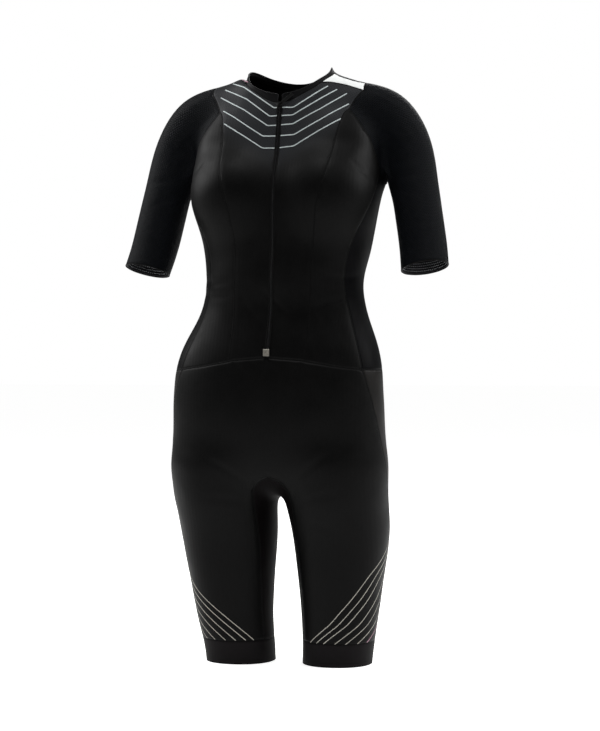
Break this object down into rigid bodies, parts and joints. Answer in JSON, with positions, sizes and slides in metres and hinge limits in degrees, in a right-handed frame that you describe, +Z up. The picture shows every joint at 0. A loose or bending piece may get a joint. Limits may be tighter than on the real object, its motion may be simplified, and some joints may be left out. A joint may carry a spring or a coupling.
{
  "type": "triathlon suit",
  "caption": "Short-sleeved, knee-length women's triathlon suit with a front zip, standing hollow as if worn, with open neck, cuffs and legs.",
  "frame": {"origin": "at the base of the neck, between the shoulders, where the wearer's shoulders hold the suit up", "axes": "+Z up the wearer's back, -Y the way the front faces, +X towards the wearer's left"},
  "size_m": [0.5107, 0.2289, 0.9225],
  "materials": {
    "stretch_cloth": "black satin stretch knit",
    "printed_front": "black stretch knit, dark grey printed yoke with pale pin-stripes",
    "shorts_cloth": "black satin stretch knit with pale pin-lines above the hems",
    "hip_cloth": "glossier black stretch knit",
    "inner_cloth": "plain matt black knit",
    "mesh_cloth": "blue-black open honeycomb knit",
    "white_band": "bare white knit band",
    "grip_tape": "elastic tape with silicone dots",
    "zip_coil": "black coil zip",
    "slider_metal": "black enamelled slider and pull",
    "box_metal": "bare metal retainer box"
  },
  "bodies": {
    "suit": {"back": "stretch_cloth", "collar": "stretch_cloth", "cuff_grip_left": "grip_tape", "cuff_grip_right": "grip_tape", "front_centre_left": "printed_front", "front_centre_right": "printed_front", "front_side_left": "stretch_cloth", "front_side_right": "stretch_cloth", "inner_thighs": "inner_cloth", "leg_band_left": "shorts_cloth", "leg_band_right": "shorts_cloth", "shorts_back": "hip_cloth", "shorts_front": "shorts_cloth", "shoulder_band_left": "white_band", "side_left": "stretch_cloth", "side_right": "stretch_cloth", "sleeve_left": "mesh_cloth", "sleeve_right": "mesh_cloth", "zip_box": "box_metal", "zip_chain": "zip_coil", "zip_slider": "slider_metal"},
    "pull": {"zip_pull": "slider_metal"}
  },
  "joints": [
    {"name": "pull_hinge", "type": "hinge", "parent": "suit", "child": "pull", "pos_m": [0, -0.05769, -0.03374], "axis": [0.682, -0.1538, -0.715], "range_deg": [0, 140]}
  ]
}
